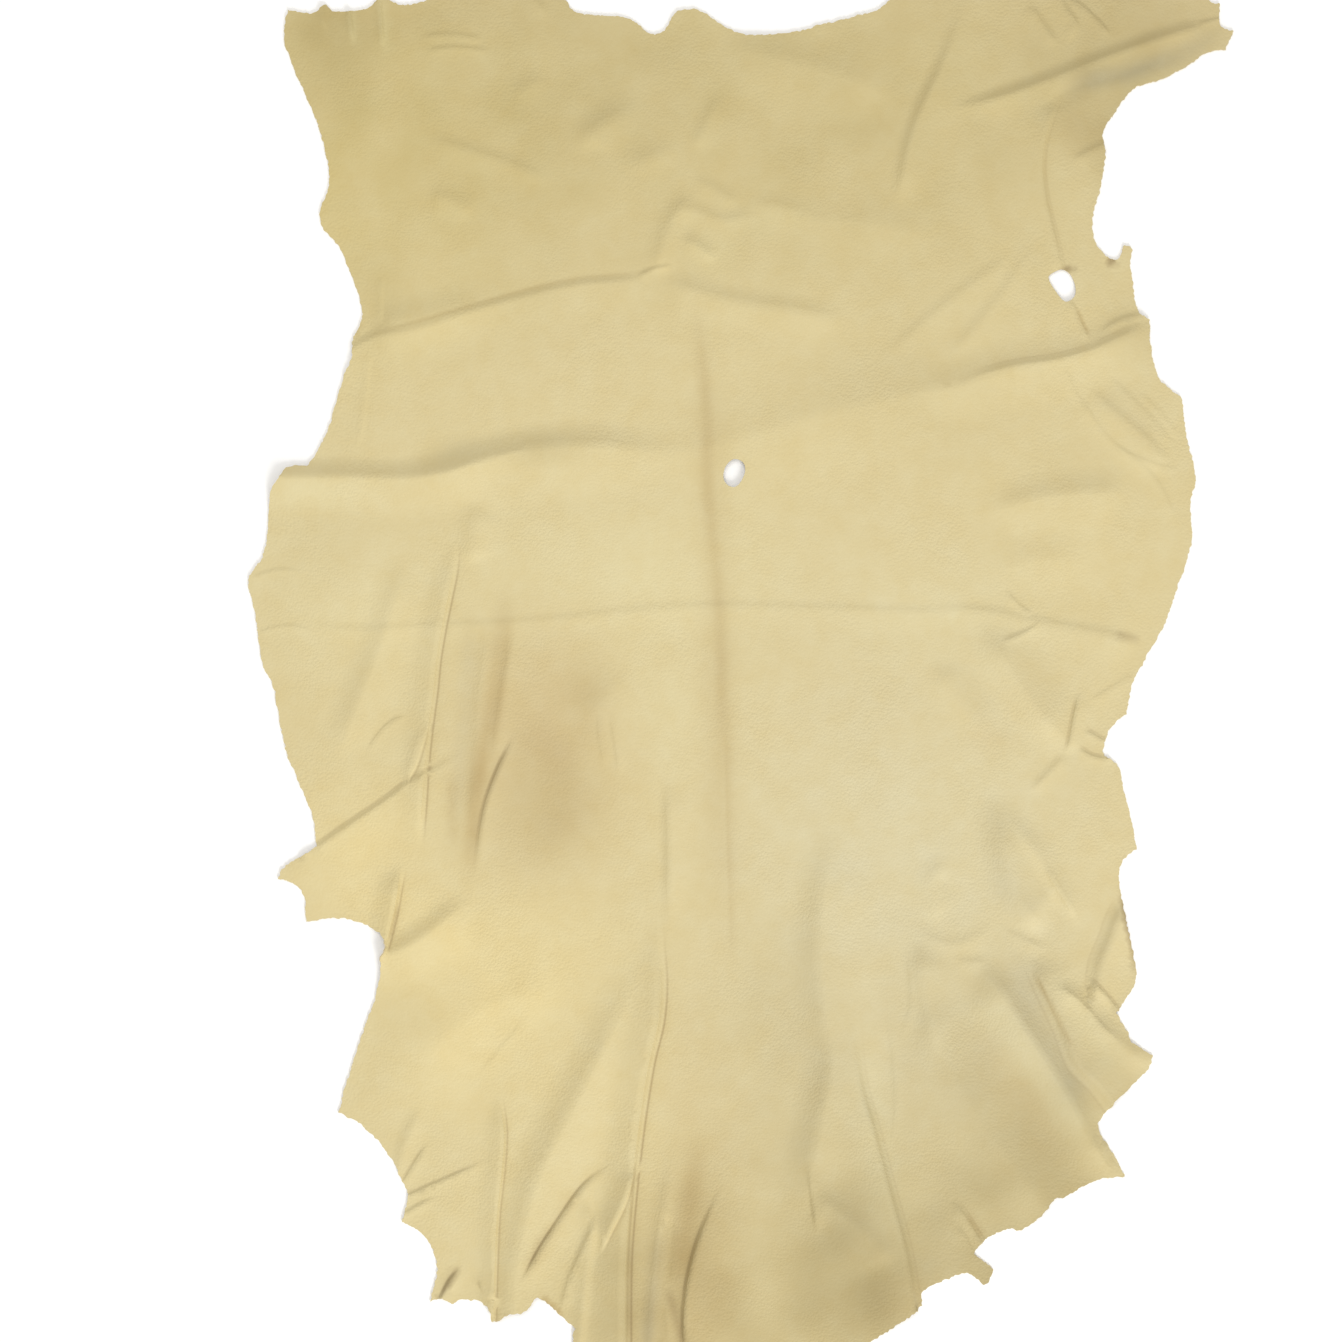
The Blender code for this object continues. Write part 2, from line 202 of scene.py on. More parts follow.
# Folds: each has a steep face and a soft slope behind it. The path follows the middle of the
# steep face, and the soft slope lies on its right as it runs. Columns: name, height, width of
# the steep face, width of the soft slope, how far the crest leans out over the steep face,
# length over which the fold rises at the path's start and sinks at its end, and the path.
FOLDS = (
    ("upper crease", 2.6, 9, 40, 0, 0, 70,
     ((345, 349), (372, 334), (399, 330), (423, 324), (470, 309), (524, 293), (578, 281),
      (633, 276), (672, 268))),
    ("upper crease, above", 3.2, 30, 30, 0, 20, 70,
     ((366, 318), (399, 314), (430, 306), (470, 294), (520, 280))),
    ("upper crease, faint end", 3.5, 18, 34, 0, 30, 50,
     ((664, 272), (700, 284), (741, 294), (802, 303), (856, 316))),
    ("middle crease", 7, 20, 44, 0, 0, 80,
     ((272, 467), (341, 467), (409, 468), (443, 463), (477, 453), (520, 444))),
    ("middle crease, right", 7, 26, 60, 0, 80, 120,
     ((400, 462), (443, 459), (477, 449), (511, 440), (551, 434), (599, 433), (650, 438),
      (710, 434))),
    ("middle crease, faint end", 5, 66, 80, 0, 90, 60,
     ((640, 430), (720, 410), (800, 386), (880, 367), (956, 352))),
    ("right crease", 5.5, 32, 46, 0, 60, 50,
     ((900, 376), (944, 373), (977, 362), (1010, 354), (1055, 346), (1088, 337), (1121, 322),
      (1156, 306))),
    ("right crease, core", 1.5, 6, 20, 0.5, 50, 60,
     ((960, 378), (1010, 364), (1055, 357), (1088, 348), (1121, 333), (1150, 318))),
    ("lower crease, left", 0.8, 8, 18, 0, 50, 50,
     ((300, 621), (360, 626), (430, 622), (490, 620), (560, 615), (620, 609))),
    ("lower crease", 1.0, 9, 24, 0, 60, 50,
     ((560, 615), (640, 606), (711, 602), (811, 604), (922, 607), (970, 607))),
    ("lower crease, right", 1.8, 10, 32, 0, 50, 20,
     ((930, 604), (988, 607), (1032, 616), (1088, 626), (1142, 637))),
    ("hind leg crease", 4.6, 11, 24, 0, 60, 30,
     ((940, 106), (980, 98), (1010, 89), (1056, 72), (1102, 54), (1159, 34), (1211, 19))),
    ("rump crease", 5, 12, 44, 0, 40, 120,
     ((893, 208), (896, 180), (904, 140), (917, 105), (930, 78), (944, 45), (956, 10),
      (962, -22))),
    ("left double pleat", 4.5, 7, 24, 1.8, 60, 50,
     ((458, 536), (455, 570), (449, 600), (443, 630), (438, 660), (435, 690), (431, 720),
      (427, 755), (424, 800), (420, 850))),
    ("short dark pleat", 1.8, 3.6, 20, 1, 60, 40,
     ((474, 880), (477, 852), (482, 815), (488, 793), (500, 763), (517, 730))),
    ("left shank flap", 2.2, 5, 46, 0.7, 0, 80,
     ((312, 849), (340, 829), (380, 802), (410, 780), (438, 765), (470, 746))),
    ("left armpit tuck", 7, 6, 24, 1.6, 30, 0, ((405, 864), (400, 887), (396, 910), (387, 946))),
    ("left armpit fold", 6, 20, 44, 0, 0, 40,
     ((376, 947), (400, 938), (420, 926), (440, 910), (466, 888))),
    ("neck swell", 8, 32, 60, 0, 0, 150,
     ((494, 1330), (500, 1262), (511, 1210), (527, 1160), (559, 1098), (582, 1053), (616, 984),
      (650, 930))),
    ("neck thin pleat", 4.5, 5, 20, 1.5, 40, 0,
     ((500, 1092), (505, 1130), (503, 1168), (498, 1215), (496, 1260), (494, 1330))),
    ("neck slant, left", 1.2, 3, 14, 0.6, 0, 40,
     ((402, 1197), (428, 1185), (462, 1170), (492, 1156))),
    ("neck slant, middle", 2.0, 3, 26, 1, 30, 50,
     ((519, 1286), (535, 1255), (556, 1222), (580, 1188), (598, 1171), (616, 1162))),
    ("long neck pleat", 9, 9, 34, 2, 120, 0,
     ((658, 912), (661, 950), (663, 985), (660, 1022), (651, 1060), (645, 1095), (639, 1137),
      (632, 1200), (628, 1252), (627, 1300), (627, 1372))),
    ("neck pleat, right", 3.4, 3.6, 50, 1, 0, 80,
     ((682, 1396), (684, 1301), (692, 1258), (706, 1217), (724, 1178))),
    ("right neck trough", 8.5, 30, 60, 0, 80, 80,
     ((786, 1216), (795, 1170), (806, 1110), (815, 1060), (808, 1010), (803, 950), (808, 880),
      (818, 820))),
    ("right neck line", 8, 9, 60, 0.5, 130, 0,
     ((855, 1000), (862, 1076), (876, 1129), (891, 1186), (908, 1250), (917, 1304))),
    ("right shank ridge, inner", 11, 24, 44, 0, 50, 0,
     ((985, 950), (1010, 985), (1032, 1020), (1056, 1056), (1080, 1096), (1098, 1132))),
    ("right shank ridge, outer", 6, 12, 40, 0.5, 0, 30,
     ((1112, 1112), (1092, 1086), (1072, 1066), (1058, 1030), (1042, 995), (1026, 958))),
    ("right shank crease", 4, 14, 22, 0, 25, 0,
     ((1050, 976), (1080, 991), (1108, 1022), (1136, 1046))),
    ("shoulder fold", 6, 13, 30, 0.5, 0, 30,
     ((1091, 984), (1094, 962), (1104, 938), (1112, 916), (1126, 894))),
    ("shoulder trough", 8.5, 28, 46, 0, 30, 60,
     ((1040, 942), (1016, 920), (1002, 900), (993, 870), (986, 835), (974, 796))),
    ("elbow fold", 2.4, 3.6, 22, 0.8, 10, 20,
     ((1065, 752), (1069, 733), (1073, 712), (1078, 690))),
)

# Smaller creases and wrinkles, in the same columns; a height below zero is a groove
WRINKLES = (
    ("rump pucker, left", 3.0, 4, 6, 0, 0, 20, ((351, 8), (354, 30), (355, 46))),
    ("rump pucker, right", 3.2, 4, 6, 0, 0, 20, ((382, 0), (384, 28), (386, 50))),
    ("rump pucker, outer", 1.8, 5, 9, 0, 0, 12, ((324, 6), (327, 20), (328, 32))),
    ("rump ripple, upper", 1.2, 6, 8, 0, 12, 12, ((420, 36), (450, 33), (486, 38))),
    ("rump ripple, lower", 1.2, 6, 8, 0, 12, 12, ((424, 50), (456, 46), (492, 50))),
    ("rump dip", 2.0, 18, 20, 0, 10, 10, ((508, 92), (524, 80), (542, 72))),
    ("rump dip, edge", 2.0, 10, 16, 0, 0, 10, ((534, -8), (545, 6), (552, 14))),
    ("rump band", 4.6, 24, 34, 0, 34, 50,
     ((573, 158), (575, 140), (584, 126), (606, 111), (645, 94))),
    ("rump band, lower", 3.0, 22, 26, 0, 26, 30, ((618, 164), (640, 152), (680, 140))),
    ("rump band, upper left", 2.4, 14, 24, 0, 34, 34,
     ((424, 132), (470, 145), (511, 158), (556, 178))),
    ("rump band, left", 2.6, 18, 24, 0, 14, 14, ((430, 186), (456, 194), (480, 206))),
    ("rump band, long", 4.0, 34, 60, 0, 40, 60, ((722, 26), (780, 42), (840, 58), (912, 88))),
    ("rump band, mid", 2.2, 30, 44, 0, 50, 50, ((786, 206), (860, 208), (944, 224))),
    ("swirl, outer", 3.6, 18, 22, 0, 20, 24,
     ((646, 274), (652, 252), (660, 226), (672, 204), (690, 186))),
    ("swirl, inner", 3.0, 14, 16, 0, 12, 14, ((684, 232), (702, 242), (722, 256))),
    ("swirl, right", 2.0, 13, 20, 0, 18, 18, ((694, 174), (716, 184), (744, 202))),
    ("swirl, top", 2.0, 14, 18, 0, 24, 30, ((664, 216), (690, 204), (724, 214), (760, 206))),
    ("swirl, strand", 2.4, 14, 20, 0, 16, 24, ((688, 150), (700, 122), (716, 90))),
    ("swirl, far right", 2.0, 16, 26, 0, 30, 40, ((744, 196), (784, 200), (826, 214))),
    ("swirl, foot", 1.8, 5, 9, 0, 10, 10, ((636, 276), (652, 268), (674, 264))),
    ("flank line", 0.9, 4, 8, 0, 12, 6, ((384, 276), (383, 322))),
    ("flank line, lower", 0.9, 5, 9, 0, 12, 12, ((372, 352), (368, 400), (362, 448))),
    ("left flank shade", 2.0, 30, 30, 0, 10, 40, ((380, 306), (420, 300), (480, 286))),
    ("hind leg valley", -4.2, 12, 14, 0, 26, 26,
     ((1040, 112), (1056, 93), (1080, 82), (1110, 78), (1130, 70), (1156, 58))),
    ("hind leg arc", 2.2, 5, 20, 0.4, 24, 4,
     ((1060, 98), (1051, 122), (1045, 145), (1043, 168), (1046, 195), (1051, 218), (1057, 242),
      (1063, 270))),
    ("flank arc", 1.6, 4, 12, 0, 3, 8, ((1072, 300), (1080, 318), (1090, 342))),
    ("hind leg patch", 2.4, 8, 18, 0, 10, 10, ((1032, 2), (1044, 22), (1060, 44))),
    ("hind leg patch, right", 2.0, 6, 14, 0, 0, 12,
     ((1058, -14), (1066, 6), (1078, 24), (1070, 44))),
    ("hind leg step", 2.4, 9, 20, 0, 14, 0, ((1068, 160), (1083, 151), (1094, 145), (1108, 140))),
    ("hind leg line", 2.0, 5, 12, 0, 10, 10, ((1070, -4), (1088, 10), (1104, 26), (1112, 36))),
    ("shank line", 1.4, 4, 8, 0, 8, 0, ((1196, 23), (1224, 16))),
    ("side line", 1.6, 12, 24, 0, 40, 40, ((880, 356), (920, 318), (975, 275), (1015, 248))),
    ("side line, right", 1.6, 12, 24, 0, 40, 30,
     ((940, 360), (976, 318), (1010, 272), (1026, 240))),
    ("crease ray, first", 0.8, 5, 8, 0, 8, 12, ((1012, 374), (1016, 392), (1020, 412))),
    ("crease ray, second", 0.8, 5, 8, 0, 8, 12, ((1040, 368), (1044, 386), (1046, 404))),
    ("crease ray, third", 0.9, 5, 8, 0, 8, 16, ((1066, 368), (1078, 394), (1096, 424))),
    ("flank wrinkle, top", 1.6, 5, 9, 0, 20, 0, ((1094, 334), (1120, 318), (1150, 312))),
    ("belly trough, right", 2.2, 34, 34, 0, 40, 30,
     ((1092, 378), (1122, 404), (1150, 432), (1178, 466))),
    ("belly wrinkle, first", 1.4, 9, 14, 0, 16, 16,
     ((1092, 384), (1108, 402), (1130, 420), (1152, 440), (1172, 464))),
    ("belly wrinkle, second", 0.9, 6, 11, 0, 14, 14,
     ((1110, 376), (1134, 398), (1156, 420), (1174, 444))),
    ("belly wrinkle, third", 0.8, 5, 10, 0, 14, 14,
     ((1084, 396), (1098, 424), (1120, 446), (1150, 461), (1180, 468))),
    ("belly wrinkle, fourth", 0.8, 6, 10, 0, 12, 12, ((1138, 390), (1160, 410), (1181, 436))),
    ("belly band, right", 4.2, 26, 44, 0, 44, 30,
     ((976, 502), (1032, 486), (1080, 480), (1130, 480))),
    ("belly band, right lower", 2.2, 30, 44, 0, 50, 50, ((980, 562), (1040, 544), (1100, 552))),
    ("belly arc, right", 0.9, 5, 16, 0, 16, 16,
     ((1110, 442), (1140, 462), (1162, 486), (1178, 522))),
    ("belly ridge, upper", 3.4, 22, 30, 0, 16, 20, ((462, 566), (463, 530), (468, 500))),
    ("belly trough, left", 5.0, 26, 40, 0, 50, 50,
     ((324, 758), (345, 702), (366, 648), (384, 592), (392, 552))),
    ("belly line, left", 1.0, 3, 12, 0, 10, 14, ((366, 750), (380, 730), (393, 719), (408, 714))),
    ("belly wrinkle, left", 0.7, 4, 8, 0, 4, 30, ((252, 575), (280, 568), (312, 572))),
    ("belly wrinkle, left lower", 0.7, 4, 8, 0, 4, 30, ((258, 630), (290, 624), (326, 634))),
    ("double pleat, branch", 2.4, 4, 12, 1, 20, 20,
     ((427, 724), (421, 748), (414, 770), (405, 788))),
    ("pleat beside it", 2.4, 12, 22, 0, 40, 40, ((466, 832), (470, 760), (474, 700), (484, 620))),
    ("pleat beside it, right", 2.2, 10, 20, 0, 40, 40,
     ((490, 770), (492, 730), (498, 690), (508, 630))),
    ("stain dip", 1.6, 28, 40, 0, 20, 20, ((576, 716), (594, 690), (620, 664))),
    ("short soft line", 1.4, 5, 14, 0, 20, 20, ((618, 778), (614, 750), (608, 712))),
    ("short soft line, left", 1.2, 5, 12, 0, 16, 16, ((604, 770), (598, 740), (596, 712))),
    ("small bright ridge", 1.6, 5, 8, 0, 8, 8, ((1000, 640), (1018, 633), (1038, 622))),
    ("small ridge, upper", 1.4, 5, 9, 0, 8, 8, ((1008, 590), (1020, 604), (1034, 612))),
    ("shoulder diagonal", 8, 30, 44, 0, 50, 50,
     ((1066, 762), (1038, 736), (1010, 700), (984, 660), (964, 626))),
    ("shoulder diagonal, left", 3.2, 24, 34, 0, 40, 30,
     ((992, 758), (964, 726), (936, 690), (922, 664))),
    ("elbow nick", 1.4, 4, 9, 0.8, 8, 0, ((1084, 728), (1094, 734), (1106, 741))),
    ("elbow nick, lower", 1.4, 4, 9, 0.8, 6, 0, ((1078, 746), (1090, 754), (1106, 758))),
    ("elbow line, upper", 0.8, 5, 12, 0, 12, 0, ((1086, 700), (1104, 690), (1126, 676))),
    ("elbow line, inner", 1.8, 8, 16, 0, 16, 10, ((1026, 790), (1046, 770), (1062, 752))),
    ("shoulder arc", 2.6, 20, 26, 0, 18, 18,
     ((930, 926), (922, 900), (920, 878), (934, 862), (954, 866))),
    ("shoulder arc, lower", 1.4, 12, 18, 0, 30, 30,
     ((918, 918), (930, 932), (950, 938), (970, 933), (990, 918))),
    ("shoulder arc, third", 1.4, 9, 14, 0, 16, 16, ((952, 952), (968, 957), (990, 955))),
    ("shoulder band", 5.4, 20, 34, 0, 40, 30, ((930, 1060), (919, 1020), (912, 985), (910, 940))),
    ("shoulder band, line", 0.7, 5, 10, 0, 30, 30,
     ((898, 1042), (907, 1010), (908, 983), (903, 950))),
    ("brisket line", 0.9, 5, 14, 0, 50, 40, ((890, 1150), (893, 1100), (889, 1044), (882, 1008))),
    ("shoulder crease", 1.8, 9, 16, 0, 20, 16, ((1004, 924), (1026, 936), (1048, 946))),
    ("shoulder ridge", 3.4, 12, 22, 0, 40, 60,
     ((1078, 932), (1056, 900), (1036, 866), (1016, 836), (1000, 812))),
    ("shoulder line", 1.6, 4, 10, 0, 10, 10, ((1072, 916), (1058, 894), (1042, 868))),
    ("shank fine line", 1.0, 4, 9, 0, 10, 4,
     ((1062, 984), (1080, 1000), (1098, 1018), (1112, 1036))),
    ("shoulder fine line", 2.0, 4, 8, 1, 6, 0, ((1090, 978), (1106, 994), (1120, 1012))),
    ("brisket band, right", 4.5, 44, 40, 0, 60, 0,
     ((944, 990), (966, 1050), (996, 1104), (1030, 1150), (1066, 1196))),
    ("neck nick, right", 2.4, 6, 12, 0.5, 14, 0, ((954, 1198), (967, 1216), (983, 1242))),
    ("neck nick, right, lower", 2.2, 5, 9, 0, 10, 0, ((958, 1222), (968, 1238), (976, 1256))),
    ("neck hollow, edge", 4.2, 20, 40, 0, 20, 20,
     ((818, 1184), (848, 1206), (874, 1228), (900, 1256))),
    ("neck line, right middle", 2.2, 4, 18, 0, 20, 24, ((816, 1236), (811, 1205), (806, 1165))),
    ("long pleat, branch", 4.0, 4, 16, 1, 24, 26,
     ((636, 1162), (624, 1200), (612, 1228), (600, 1256))),
    ("neck groove, left", -5.0, 10, 12, 0, 50, 0,
     ((652, 1396), (652, 1330), (656, 1281), (662, 1230))),
    ("neck groove, right", -6.0, 10, 9, 0, 0, 30,
     ((682, 1396), (676, 1344), (670, 1310), (664, 1276))),
    ("neck ridge, middle", 3.0, 12, 12, 0, 60, 0,
     ((676, 1150), (672, 1200), (664, 1260), (662, 1340))),
    ("neck ray, outer", 1.2, 3, 12, 0.6, 4, 18, ((402, 1182), (414, 1162), (428, 1140))),
    ("neck ray, upper", 2.2, 12, 20, 0, 0, 20, ((392, 1166), (400, 1140), (416, 1104))),
    ("neck ray, lower", 1.6, 4, 10, 0, 0, 20, ((404, 1212), (420, 1202), (440, 1194))),
    ("neck corner fold", 2.2, 3, 14, 1, 0, 24, ((438, 1302), (449, 1281), (462, 1263))),
    ("neck ray, middle", 2.2, 6, 14, 0, 20, 0,
     ((558, 1314), (566, 1280), (578, 1252), (590, 1226))),
    ("neck ray, right", 3.0, 8, 16, 0, 20, 0,
     ((586, 1196), (596, 1230), (590, 1276), (584, 1340))),
    ("neck ray, short", 2.0, 4, 10, 0, 10, 0, ((500, 1300), (486, 1296), (478, 1284))),
    ("brisket band, left", 2.8, 44, 60, 0, 50, 50,
     ((404, 1058), (424, 1026), (470, 990), (516, 972), (566, 968))),
    ("brisket line, left", 0.5, 4, 9, 0, 30, 30, ((474, 1080), (500, 1046), (530, 1012))),
    ("long soft line", 3.6, 10, 26, 0, 70, 40, ((666, 940), (664, 890), (664, 840), (662, 776))),
)

# Broad low swells where the skin stands off the surface: name, middle u and v, half-widths
# along u and v, and height
SWELLS = (
    ("left belly", 352, 580, 74, 92, 4),
    ("left brisket", 430, 1040, 64, 88, 4),
    ("right brisket", 960, 1120, 92, 110, 4),
    ("rump", 620, 150, 120, 90, 3),
    ("right belly", 1075, 520, 90, 90, 4),
)

# Colours, linear: the grain side as it is in the middle of the skin, the raw edge, the flesh
# side, and what tints the grain side, each as a share of its own colour
GRAIN = (0.614, 0.521, 0.287)
RAW_EDGE = (0.66, 0.55, 0.34)
FLESH = (0.66, 0.56, 0.37)
SHADE = (0.78, 0.76, 0.70)
# Painted highlight: a bluish white lightening of lit crests and swells, and of the skin's lit
# middle
PAINTED_HIGHLIGHT = (1.07, 1.11, 1.18)
BRIGHT = (1.12, 1.10, 1.03)
COOL = (0.96, 1.00, 1.14)
YELLOW = (1.00, 0.98, 0.84)
BROWN = (0.72, 0.63, 0.50)
PINK = (0.86, 0.79, 0.74)
# Painted shade: a bluish grey darkening in troughs, grooves and hollows
PAINTED_SHADE_GREY = (0.78, 0.81, 0.92)
# Darkest tint: painted shade in crevices, at the feet of pleats and at a hole's lip, and a few
# dark marks
DARK = (0.42, 0.34, 0.28)
MOTTLE_BROWN = (0.975, 0.955, 0.90)
MOTTLE_PALE = (1.015, 1.03, 1.06)

# Soft patches of tint: name, middle u and v, half-widths along u and v, tint and strength.
# Besides the skin's own tone and stain, many paint light and shade onto the skin.
PATCHES = (
    # Darker towards the rump end: partly the skin's own darker tone, partly painted shade
    ("rump, left", 500, 90, 440, 330, SHADE, 0.8),
    ("rump, right", 900, 120, 360, 300, SHADE, 0.65),
    ("flank, right", 930, 400, 190, 110, SHADE, 0.2),
    # Painted highlight on the left belly's swell, and painted light over the middle of the skin
    ("left belly", 350, 590, 160, 140, PAINTED_HIGHLIGHT, 0.45),
    ("back", 640, 570, 240, 120, PAINTED_HIGHLIGHT, 0.75),
    ("side, right", 930, 610, 170, 100, PAINTED_HIGHLIGHT, 0.5),
    ("stain", 540, 752, 140, 190, PINK, 0.8),
    ("stain, heart", 550, 800, 84, 100, SHADE, 0.55),
    ("stain, upper", 590, 694, 44, 60, SHADE, 0.3),
    ("left shank, bright", 360, 860, 120, 130, BRIGHT, 0.8),
    ("left armpit, bright", 490, 955, 190, 110, BRIGHT, 0.8),
    ("shoulder", 900, 830, 260, 170, PAINTED_HIGHLIGHT, 0.4),
    ("brisket, left, bright", 480, 1050, 160, 110, BRIGHT, 0.55),
    ("side, middle", 780, 1050, 110, 200, SHADE, 0.5),
    ("back, pale", 660, 715, 90, 90, PAINTED_HIGHLIGHT, 0.55),
    ("brisket, right", 1030, 1180, 170, 150, SHADE, 0.9),
    # Darker towards the neck end: partly the skin's own darker tone, partly painted shade
    ("neck", 780, 1330, 330, 250, SHADE, 0.95),
    ("neck, right", 862, 1270, 120, 120, SHADE, 0.85),
    ("neck, left", 520, 1330, 130, 110, SHADE, 0.3),
    ("backbone, lower", 690, 1060, 60, 170, BROWN, 0.14),
    ("brown spot", 988, 738, 34, 22, BROWN, 0.25),
    ("hind shank", 1190, 30, 90, 60, BROWN, 0.2),
    ("hind leg", 1082, 128, 52, 60, BROWN, 0.3),
    ("brisket, lower", 1026, 1140, 70, 90, BROWN, 0.08),
    # Painted shade in the neck's hollows
    ("neck, grey, upper", 858, 1224, 60, 54, PAINTED_SHADE_GREY, 0.15),
    ("neck, lower edge", 876, 1326, 84, 70, SHADE, 0.75),
    # Painted shade in a hollow of the neck
    ("neck, grey, right", 938, 1262, 50, 44, PAINTED_SHADE_GREY, 0.25),
    # Painted highlights below the middle crease, on the swirl and on the rump
    ("middle crease, pale", 318, 492, 90, 26, PAINTED_HIGHLIGHT, 0.6),
    ("swirl, pale", 712, 250, 38, 28, PAINTED_HIGHLIGHT, 0.7),
    ("rump, pale", 775, 222, 70, 30, PAINTED_HIGHLIGHT, 0.4),
    ("rump, left, yellow", 330, 150, 340, 320, YELLOW, 1.0),
    ("rump, yellow", 760, 110, 520, 300, YELLOW, 0.4),
    ("right side, cool", 900, 920, 330, 500, COOL, 0.9),
    ("hind leg, shade", 1130, 60, 170, 130, SHADE, 0.9),
    ("rump corner", 325, 40, 90, 140, SHADE, 0.75),
    ("right shoulder, shade", 985, 1060, 200, 190, SHADE, 0.45),
    ("neck, middle", 685, 1300, 84, 170, BROWN, 0.6),
    ("neck, left middle", 612, 1290, 80, 110, SHADE, 0.5),
    ("neck tab, shade", 1000, 1275, 70, 60, SHADE, 0.6),
    ("hind leg, edge", 1114, 140, 60, 70, SHADE, 0.6),
    ("left flank, shade", 375, 300, 70, 90, SHADE, 0.3),
    ("neck, right middle", 860, 1190, 120, 160, SHADE, 0.6),
    ("neck, right end", 975, 1230, 110, 100, SHADE, 0.6),
    ("neck, brown", 705, 1200, 90, 170, BROWN, 0.2),
    ("right belly, top", 1136, 326, 60, 56, SHADE, 0.5),
    ("right shank, shade", 1112, 1064, 70, 120, SHADE, 0.45),
    ("right neck, shade", 1072, 1172, 70, 60, SHADE, 0.6),
    ("neck tab, darker", 1000, 1268, 60, 50, SHADE, 0.5),
    ("middle crease, shade", 540, 450, 70, 26, SHADE, 0.45),
    ("neck, lower corner", 906, 1304, 60, 54, BROWN, 0.3),
    ("hind leg, warm", 1130, 16, 230, 90, BROWN, 0.18),
    ("rump edge, left", 430, 0, 250, 60, BROWN, 0.16),
    ("rump edge, right", 890, 0, 180, 60, BROWN, 0.14),
    # Painted shadow under the upper lip of the flank hole
    ("hole lip", 1067, 270, 12, 6, DARK, 1.0),
)

# Line of the backbone
SPINE = ((694, 268), (699, 330), (708, 400), (712, 500), (718, 600), (719, 700), (722, 850),
         (726, 960))

